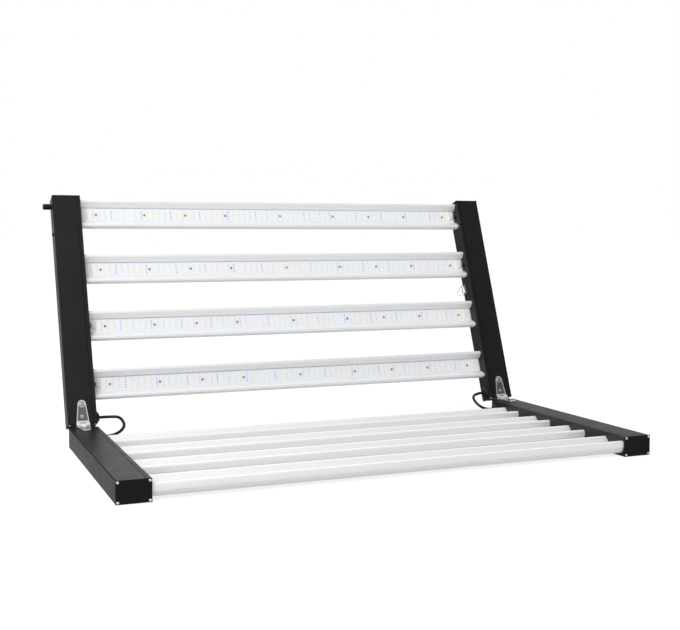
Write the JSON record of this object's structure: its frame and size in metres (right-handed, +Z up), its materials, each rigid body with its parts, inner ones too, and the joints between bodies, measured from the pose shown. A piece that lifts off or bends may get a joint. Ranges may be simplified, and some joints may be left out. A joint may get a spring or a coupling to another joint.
{
  "type": "led grow light",
  "caption": "Folding LED grow light: two wings of LED bars between box rails, joined by butt hinges, with hanging rings and a dimmer knob.",
  "frame": {"origin": "centre of the light's footprint, on the surface that the lower wing lies on", "axes": "+X along the fold axis and the LED bars, from the knob's side to the mains inlet's side, +Y from the lower wing towards the upper wing, +Z up, away from the surface"},
  "size_m": [1.0774, 0.7398, 0.5237],
  "materials": {
    "black_rail": "semi-gloss black powder coat",
    "bar_aluminium": "satin clear anodised",
    "led_board": "white solder mask under a clear coating",
    "board_screw": "blackened",
    "screw_steel": "zinc plated",
    "hinge_zinc": "zinc plated casting",
    "hanger_zinc": "zinc plated",
    "terminal_plastic": "moulded",
    "black_rubber": "matt",
    "cable_jacket": "satin",
    "driver_case": "moulded",
    "knob_plastic": "satin",
    "control_plastic": "moulded"
  },
  "bodies": {
    "lower_wing": {"lower_left_rail": "black_rail", "lower_right_rail": "black_rail", "lower_left_rail_cover": "black_rail", "lower_right_rail_cover": "black_rail", "lower_left_hinge_leaf": "hinge_zinc", "lower_right_hinge_leaf": "hinge_zinc", "lower_bar_1": "bar_aluminium", "lower_bar_2": "bar_aluminium", "lower_bar_3": "bar_aluminium", "lower_bar_4": "bar_aluminium", "lower_led_board_1": "led_board", "lower_led_board_2": "led_board", "lower_led_board_3": "led_board", "lower_led_board_4": "led_board", "lower_end_caps": "black_rail", "lower_cap_screws": "screw_steel", "lower_board_screws": "board_screw", "lower_bar_screws": "screw_steel", "lower_wire_terminals": "terminal_plastic", "lower_wire_grommets": "black_rubber", "lower_hinge_screws": "hinge_zinc", "lower_led_drivers": "driver_case", "lower_cable_glands": "black_rubber", "lower_hanger_plates": "hanger_zinc", "left_jumper_cable": "cable_jacket", "right_jumper_cable": "cable_jacket"},
    "upper_wing": {"upper_left_rail": "black_rail", "upper_right_rail": "black_rail", "upper_left_rail_cover": "black_rail", "upper_right_rail_cover": "black_rail", "upper_left_hinge_leaf": "hinge_zinc", "upper_right_hinge_leaf": "hinge_zinc", "upper_bar_1": "bar_aluminium", "upper_bar_2": "bar_aluminium", "upper_bar_3": "bar_aluminium", "upper_bar_4": "bar_aluminium", "upper_led_board_1": "led_board", "upper_led_board_2": "led_board", "upper_led_board_3": "led_board", "upper_led_board_4": "led_board", "upper_end_caps": "black_rail", "upper_cap_screws": "screw_steel", "upper_board_screws": "board_screw", "upper_bar_screws": "screw_steel", "upper_wire_terminals": "terminal_plastic", "upper_wire_grommets": "black_rubber", "upper_hinge_screws": "hinge_zinc", "upper_led_drivers": "driver_case", "upper_cable_glands": "black_rubber", "upper_hanger_plates": "hanger_zinc", "hinge_pins": "hinge_zinc", "dimmer_potentiometer": "control_plastic", "link_port": "control_plastic", "mains_inlet": "control_plastic"},
    "dimmer_knob": {"dimmer_knob": "knob_plastic", "dimmer_shaft": "screw_steel"},
    "upper_left_ring": {"upper_left_hanger_ring": "hanger_zinc"},
    "upper_right_ring": {"upper_right_hanger_ring": "hanger_zinc"},
    "lower_left_ring": {"lower_left_hanger_ring": "hanger_zinc"},
    "lower_right_ring": {"lower_right_hanger_ring": "hanger_zinc"}
  },
  "joints": [
    {"name": "wing_fold", "type": "hinge", "parent": "lower_wing", "child": "upper_wing", "pos_m": [0.00825, 0.14569, 0.044], "axis": [1, 0, 0], "range_deg": [-69.13, 110.87], "deforming": ["left_jumper_cable", "right_jumper_cable"]},
    {"name": "dimmer_turn", "type": "hinge", "parent": "upper_wing", "child": "dimmer_knob", "pos_m": [-0.52025, 0.34411, 0.49704], "axis": [-1, 0, 0], "range_deg": [-150, 150]},
    {"name": "upper_left_ring_swing", "type": "hinge", "parent": "upper_wing", "child": "upper_left_ring", "pos_m": [-0.45735, 0.28576, 0.29797], "axis": [0, -0.3563, -0.9344], "range_deg": [-10, 165]},
    {"name": "upper_right_ring_swing", "type": "hinge", "parent": "upper_wing", "child": "upper_right_ring", "pos_m": [0.47385, 0.28576, 0.29797], "axis": [0, 0.3563, 0.9344], "range_deg": [-10, 165]},
    {"name": "lower_left_ring_swing", "type": "hinge", "parent": "lower_wing", "child": "lower_left_ring", "pos_m": [-0.45735, -0.14151, 0.0036], "axis": [0, -1, 0], "range_deg": [-98, 77]},
    {"name": "lower_right_ring_swing", "type": "hinge", "parent": "lower_wing", "child": "lower_right_ring", "pos_m": [0.47385, -0.14151, 0.0036], "axis": [0, 1, 0], "range_deg": [-98, 77]}
  ]
}
